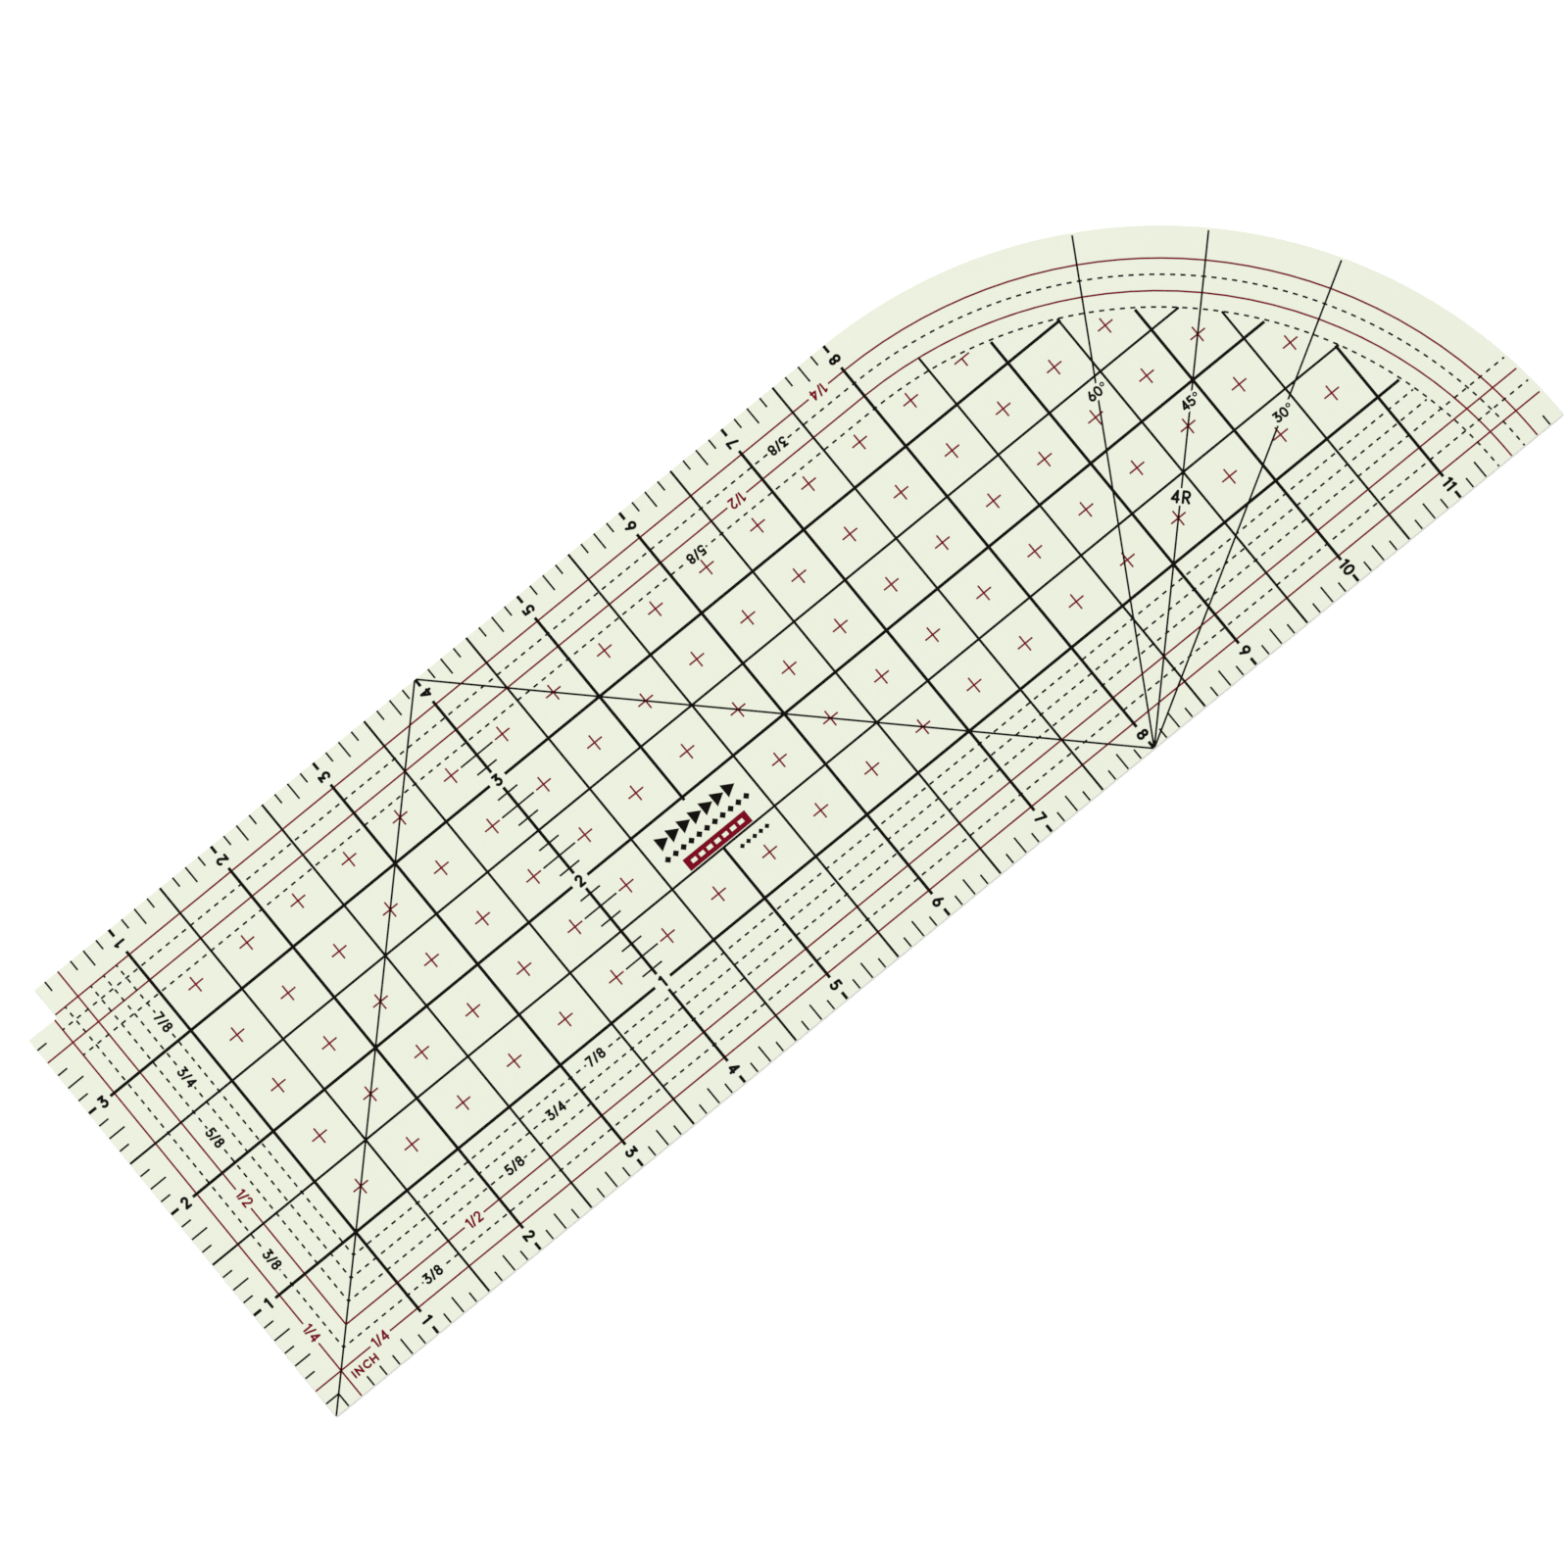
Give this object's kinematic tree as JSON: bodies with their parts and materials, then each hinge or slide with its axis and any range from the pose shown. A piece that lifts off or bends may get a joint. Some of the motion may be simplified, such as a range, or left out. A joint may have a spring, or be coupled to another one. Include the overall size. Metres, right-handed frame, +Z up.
{
  "type": "quilting ruler",
  "caption": "Thin flat quilting ruler, 12 by 4 inches, with a quarter-round end, a notched corner, an inch grid, seam lines and angle rays printed on its face.",
  "frame": {"origin": "centre of the bounding rectangle of the sheet, on its underside, the face it lies on", "axes": "+X along the 12 inch edge from the seam-line end to the round end, +Y across the 4 inch width from the square-cornered edge to the notched edge, +Z up out of the printed face"},
  "size_m": [0.3048, 0.1016, 0.0005],
  "materials": {
    "laminate": "satin pale green-white glass-fibre laminate",
    "black_ink": "matte black screen-printed ink",
    "red_ink": "matte dark red screen-printed ink"
  },
  "bodies": {
    "root": {"ruler_sheet": "laminate", "inch_grid_lines": "black_ink", "half_inch_grid_lines": "black_ink", "corner_diagonals": "black_ink", "angle_rays": "black_ink", "bottom_edge_ticks": "black_ink", "left_edge_ticks": "black_ink", "top_edge_ticks": "black_ink", "centre_scale_ticks": "black_ink", "bottom_seam_dashes": "black_ink", "left_seam_dashes": "black_ink", "top_seam_dashes": "black_ink", "bottom_inch_numerals": "black_ink", "top_inch_numerals": "black_ink", "left_inch_numerals": "black_ink", "centre_scale_numerals": "black_ink", "bottom_fraction_labels": "black_ink", "left_fraction_labels": "black_ink", "top_fraction_labels": "black_ink", "angle_labels": "black_ink", "radius_label": "black_ink", "badge_pattern": "black_ink", "badge_red_bar": "red_ink", "red_straight_seam_lines": "red_ink", "red_round_seam_lines": "red_ink", "red_cell_crosses": "red_ink", "red_fraction_labels": "red_ink", "red_unit_label": "red_ink"}
  },
  "joints": []
}
